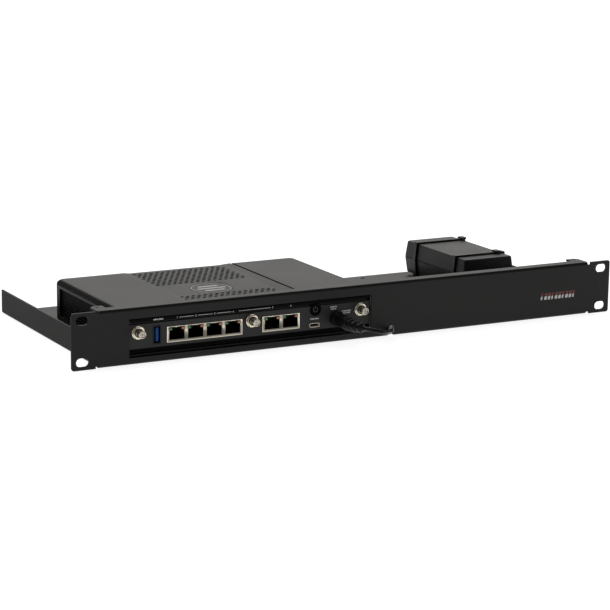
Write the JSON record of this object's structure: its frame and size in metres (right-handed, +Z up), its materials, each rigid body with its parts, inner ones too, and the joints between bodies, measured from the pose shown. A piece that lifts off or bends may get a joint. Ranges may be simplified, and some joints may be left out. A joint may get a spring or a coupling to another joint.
{
  "type": "rack-mounted firewall appliance",
  "caption": "Desktop network firewall held in a folded steel 19-inch rack tray, ports facing a front window, with its power adapter strapped beside it.",
  "frame": {"origin": "bottom centre of the object without its lead: middle of its width and depth, on the underside of the tray", "axes": "+X to the right along the front panel as seen from the front, +Y from the panel into the rack, +Z up"},
  "size_m": [0.4826, 0.2526, 0.0437],
  "materials": {
    "powder_coated_steel": "fine black powder coat, semi-matt",
    "case_plastic": "moulded black plastic with a fine spark texture",
    "dark_plastic": "black plastic",
    "face_plastic": "dark grey printed face",
    "rubber": "black moulded rubber",
    "badge_plastic": "light grey inlay",
    "board_green": "green solder mask on laminate",
    "usb_blue": "blue plastic",
    "nylon": "black nylon",
    "chip_grey": "dark grey moulding compound",
    "nickel": "nickel plate, slightly warm",
    "aluminium": "anodised aluminium",
    "steel": "plated steel"
  },
  "bodies": {
    "root": {"adapter_board": "board_green", "adapter_lower_shell": "case_plastic", "adapter_strain_relief": "rubber", "adapter_transformer": "chip_grey", "adapter_upper_shell": "case_plastic", "bottom_case": "case_plastic", "case_screw_1": "steel", "case_screw_2": "steel", "case_screw_3": "steel", "case_screw_4": "steel", "coil_tie": "nylon", "dc_jack": "dark_plastic", "dc_lead_coil": "rubber", "dc_lead_front": "rubber", "dc_lead_rear": "rubber", "dc_plug": "rubber", "dc_plug_barrel": "nickel", "dc_plug_relief": "rubber", "emblem_badge": "badge_plastic", "front_air_grille": "dark_plastic", "front_cable_tie": "nylon", "heat_sink": "aluminium", "inlet_pin_left": "steel", "inlet_pin_right": "steel", "io_faceplate": "face_plastic", "label_strip": "face_plastic", "lan_jack_block": "nickel", "main_board": "board_green", "mains_inlet": "dark_plastic", "power_button_bezel": "dark_plastic", "power_switch": "chip_grey", "processor": "chip_grey", "rack_tray": "powder_coated_steel", "rear_cable_tie": "nylon", "reset_switch": "chip_grey", "rubber_foot_1": "rubber", "rubber_foot_2": "rubber", "rubber_foot_3": "rubber", "rubber_foot_4": "rubber", "side_grille_left": "dark_plastic", "side_grille_right": "dark_plastic", "sma_connector_1": "nickel", "sma_connector_2": "nickel", "sma_connector_3": "nickel", "sma_nut_1": "nickel", "sma_nut_2": "nickel", "sma_nut_3": "nickel", "status_light_bar": "chip_grey", "top_cover": "case_plastic", "usb_a_port": "steel", "usb_a_tongue": "usb_blue", "usb_c_port": "steel", "usb_c_tongue": "dark_plastic", "wan_jack_block": "nickel", "wifi_module": "steel"},
    "power_button": {"power_button": "dark_plastic"},
    "reset_button": {"reset_button": "dark_plastic"}
  },
  "joints": [
    {"name": "power_press", "type": "slide", "parent": "root", "child": "power_button", "axis": [0, 1, 0], "range_m": [0, 0.001], "stiffness_N_per_m": 400, "springref_m": -0.0005},
    {"name": "reset_press", "type": "slide", "parent": "root", "child": "reset_button", "axis": [0, 1, 0], "range_m": [0, 0.0004], "stiffness_N_per_m": 400, "springref_m": -0.0005}
  ]
}
